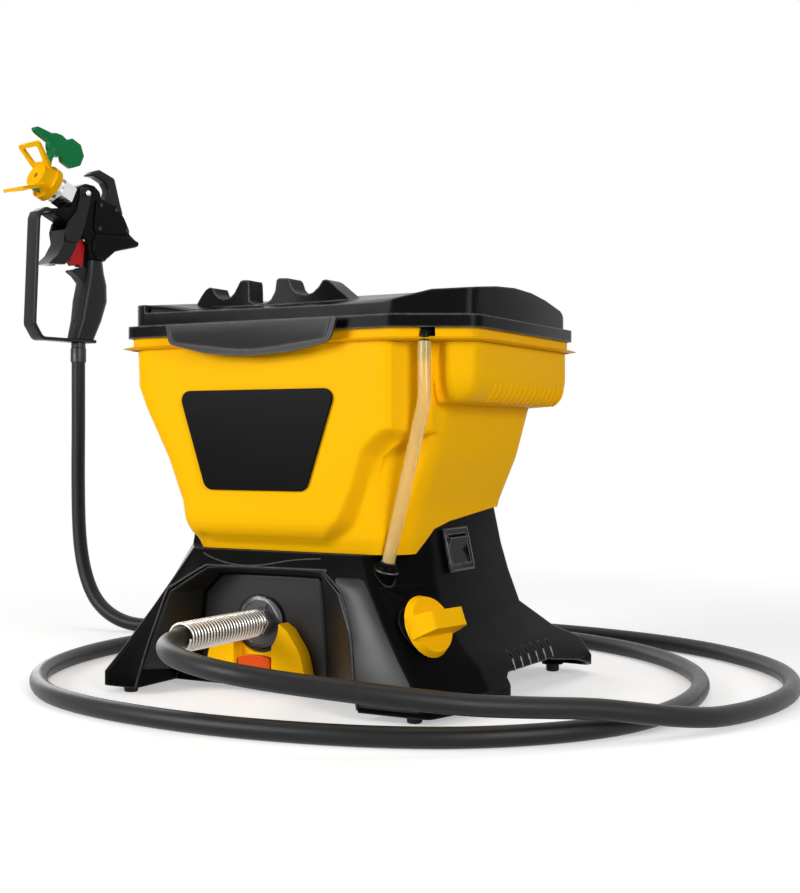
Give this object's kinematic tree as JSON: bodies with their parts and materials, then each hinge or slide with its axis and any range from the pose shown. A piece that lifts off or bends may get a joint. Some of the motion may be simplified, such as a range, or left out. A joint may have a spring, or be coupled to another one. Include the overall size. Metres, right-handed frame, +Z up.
{
  "type": "airless paint sprayer",
  "caption": "Airless paint sprayer: a lidded tank on a four-legged pump base, with a pistol spray gun on a long high-pressure hose and a spring guard at the outlet.",
  "frame": {"origin": "middle of the footprint of sprayer and gun on the floor that the feet stand on, the hose left out", "axes": "+Z up, -Y out of the front with the outlet and the lid's latch, +X towards the knob and the switch"},
  "size_m": [0.8626, 0.6307, 0.5637],
  "materials": {
    "black_moulding": "fine moulded grain, satin",
    "lid_moulding": "fine moulded grain, satin",
    "latch_moulding": "fine moulded grain, satin",
    "yellow_moulding": "satin, lightly grained",
    "gun_moulding": "satin with a fine grain",
    "plate": "smooth satin",
    "switch_plastic": "smooth gloss",
    "rubber": "matt",
    "hose_cover": "satin extruded cover",
    "ferrule": "black satin",
    "plated_steel": "bright plating with slight grain",
    "spring_steel": "drawn wire, satin",
    "zinc_steel": "zinc plated, satin",
    "motor_steel": "satin",
    "cast_housing": "as cast",
    "inner_plastic": "plain",
    "board": "lacquered",
    "strainer_steel": "wire mesh",
    "white_plastic": "plain",
    "clear_tube": "clear, yellowed",
    "red_plastic": "gloss",
    "green_plastic": "gloss",
    "orange_plastic": "gloss"
  },
  "bodies": {
    "sprayer": {"base_shell": "black_moulding", "base_pan": "black_moulding", "rubber_feet": "rubber", "foot_screws": "zinc_steel", "hopper": "yellow_moulding", "front_plate": "plate", "hopper_strainer": "strainer_steel", "inlet_seal": "rubber", "hinge_pins": "zinc_steel", "motor": "motor_steel", "gear_housing": "cast_housing", "pump_block": "cast_housing", "inlet_valve": "zinc_steel", "outlet_valve": "zinc_steel", "outlet_flange": "zinc_steel", "outlet_nipple": "plated_steel", "pump_lock": "yellow_moulding", "hose_nut": "plated_steel", "spring_guard": "spring_steel", "hose_tube": "hose_cover", "hose_ferrule": "zinc_steel", "gun_ferrule": "ferrule", "return_tube": "clear_tube", "return_elbow": "switch_plastic", "tube_socket": "black_moulding", "pressure_valve": "cast_housing", "switch_bezel": "switch_plastic", "rocker_pin": "zinc_steel", "circuit_board": "board", "cord_gland": "black_moulding", "gun_swivel": "plated_steel"},
    "lid": {"lid": "lid_moulding", "lid_seal": "rubber", "latch_pin": "zinc_steel"},
    "latch": {"lid_latch": "latch_moulding"},
    "knob": {"control_knob": "yellow_moulding"},
    "rocker": {"rocker_switch": "switch_plastic"},
    "pusher": {"valve_pusher": "orange_plastic"},
    "fan": {"motor_fan": "inner_plastic"},
    "gun": {"gun_grip": "gun_moulding", "gun_body": "gun_moulding", "gun_cover": "gun_moulding", "gun_screws": "zinc_steel", "rear_hook": "gun_moulding", "hand_guard": "gun_moulding", "gun_filter": "white_plastic", "valve_barrel": "zinc_steel", "head_nut": "plated_steel", "needle": "zinc_steel", "trigger_pin": "plated_steel", "lock_pin": "zinc_steel", "tip_seal": "white_plastic"},
    "trigger": {"trigger": "gun_moulding"},
    "trigger_lock": {"trigger_lock": "red_plastic"},
    "tip_guard": {"tip_guard": "yellow_moulding"},
    "spray_tip": {"spray_tip": "green_plastic"}
  },
  "joints": [
    {"name": "lid_hinge", "type": "hinge", "parent": "sprayer", "child": "lid", "pos_m": [0.167, 0.067, 0.3035], "axis": [-1, 0, 0], "range_deg": [0, 105]},
    {"name": "latch_hinge", "type": "hinge", "parent": "lid", "child": "latch", "pos_m": [0.144, -0.1812, 0.3085], "axis": [-1, 0, 0], "range_deg": [0, 70]},
    {"name": "knob_turn", "type": "hinge", "parent": "sprayer", "child": "knob", "pos_m": [0.277, -0.149, 0.0655], "axis": [0.9069, -0.1928, 0.3746], "range_deg": [0, 270]},
    {"name": "rocker_tilt", "type": "hinge", "parent": "sprayer", "child": "rocker", "pos_m": [0.26911, -0.07, 0.12296], "axis": [0, 1, 0], "range_deg": [-18, 0]},
    {"name": "pusher_slide", "type": "slide", "parent": "sprayer", "child": "pusher", "axis": [0, 1, 0], "range_m": [0, 0.003], "stiffness_N_per_m": 900, "springref_m": -0.001},
    {"name": "fan_spin", "type": "hinge", "parent": "sprayer", "child": "fan", "pos_m": [0.199, -0.058, 0.062], "axis": [1, 0, 0], "continuous": true},
    {"name": "gun_swivel_turn", "type": "hinge", "parent": "sprayer", "child": "gun", "pos_m": [-0.3, 0.11, 0.326], "axis": [0, 0, 1], "continuous": true},
    {"name": "trigger_pull", "type": "hinge", "parent": "gun", "child": "trigger", "pos_m": [-0.30035, 0.10803, 0.495], "axis": [0.9848, -0.1736, 0], "range_deg": [0, 9], "stiffness_Nm_per_rad": 1.2, "springref_deg": -11.46},
    {"name": "trigger_lock_flip", "type": "hinge", "parent": "gun", "child": "trigger_lock", "pos_m": [-0.3, 0.11, 0.443], "axis": [-0.9848, 0.1736, 0], "range_deg": [0, 10]},
    {"name": "tip_guard_turn", "type": "hinge", "parent": "gun", "child": "tip_guard", "pos_m": [-0.30278, 0.09424, 0.4905], "axis": [-0.158, -0.8961, 0.4147], "range_deg": [-90, 90]},
    {"name": "spray_tip_turn", "type": "hinge", "parent": "tip_guard", "child": "spray_tip", "pos_m": [-0.3091, 0.0584, 0.50709], "axis": [0.072, 0.4084, 0.91], "range_deg": [0, 180]}
  ]
}
